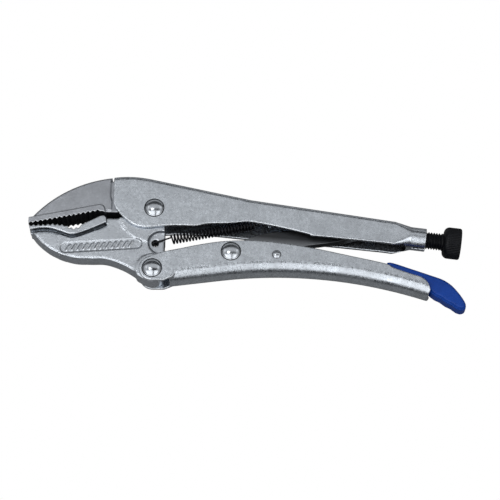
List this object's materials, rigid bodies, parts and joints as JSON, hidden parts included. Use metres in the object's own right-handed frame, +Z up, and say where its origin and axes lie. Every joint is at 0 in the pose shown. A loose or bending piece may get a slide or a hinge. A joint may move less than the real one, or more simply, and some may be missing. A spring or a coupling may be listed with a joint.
{
  "type": "locking pliers",
  "caption": "Locking pliers with curved toothed jaws, folded steel handles, an over-centre toggle link, a return spring, a knurled adjusting screw and a release lever with a plastic grip.",
  "frame": {"origin": "centre of the outline, on the surface the pliers lie on", "axes": "+X from the jaws to the adjusting screw along the tool, +Y from the lower handle towards the upper handle, +Z up along the rivets; the middle plane is at Z = 9 mm"},
  "size_m": [0.2476, 0.0832, 0.018],
  "materials": {
    "plated_steel": "satin nickel plate with fine mottling",
    "jaw_steel": "satin, slightly darker",
    "forged_steel": "satin nickel plate on a forging",
    "link_steel": "dull grey",
    "polished_rivets": "polished domes",
    "black_oxide": "black oxide, satin",
    "black_spring": "black spring wire",
    "blue_plastic": "smooth moulded royal blue"
  },
  "bodies": {
    "upper_handle": {"upper_handle": "plated_steel", "fixed_jaw": "jaw_steel", "jaw_pivot_rivet": "polished_rivets", "return_spring": "black_spring"},
    "lower_jaw": {"lower_jaw": "forged_steel"},
    "lower_handle": {"lower_handle": "plated_steel", "handle_pivot_rivet": "polished_rivets", "link_rivet": "polished_rivets", "lever_rivet": "polished_rivets"},
    "toggle_link": {"toggle_link": "link_steel"},
    "release_lever": {"release_lever": "plated_steel", "lever_grip": "blue_plastic"},
    "screw_tip": {"screw_tip": "black_oxide"},
    "adjusting_screw": {"adjusting_screw": "black_oxide"}
  },
  "joints": [
    {"name": "jaw_pivot", "type": "hinge", "parent": "upper_handle", "child": "lower_jaw", "pos_m": [-0.05219, 0.02061, 0.009], "axis": [0, 0, 1], "range_deg": [0, 20], "deforming": ["return_spring"]},
    {"name": "handle_pivot", "type": "hinge", "parent": "lower_jaw", "child": "lower_handle", "pos_m": [-0.05269, -0.01699, 0.009], "axis": [0, 0, 1], "range_deg": [-57, 0]},
    {"name": "link_pivot", "type": "hinge", "parent": "lower_handle", "child": "toggle_link", "pos_m": [-0.00825, -0.00678, 0.009], "axis": [0, 0, 1], "range_deg": [0, 58]},
    {"name": "lever_pivot", "type": "hinge", "parent": "lower_handle", "child": "release_lever", "pos_m": [0.01761, -0.00879, 0.009], "axis": [0, 0, 1], "range_deg": [0, 4]},
    {"name": "screw_travel", "type": "slide", "parent": "upper_handle", "child": "screw_tip", "axis": [0.9914, -0.1305, 0], "range_m": [0, 0.018]},
    {"name": "screw_turn", "type": "hinge", "parent": "screw_tip", "child": "adjusting_screw", "pos_m": [0.10291, 0.00331, 0.009], "axis": [0.9914, -0.1305, 0], "range_deg": [0, 4320]}
  ],
  "couplings": [
    {"joint": "handle_pivot", "follows": "jaw_pivot", "ratio": -2.81},
    {"joint": "link_pivot", "follows": "jaw_pivot", "ratio": 2.88},
    {"joint": "screw_turn", "follows": "screw_travel", "rad_per_m": 4188.8}
  ]
}
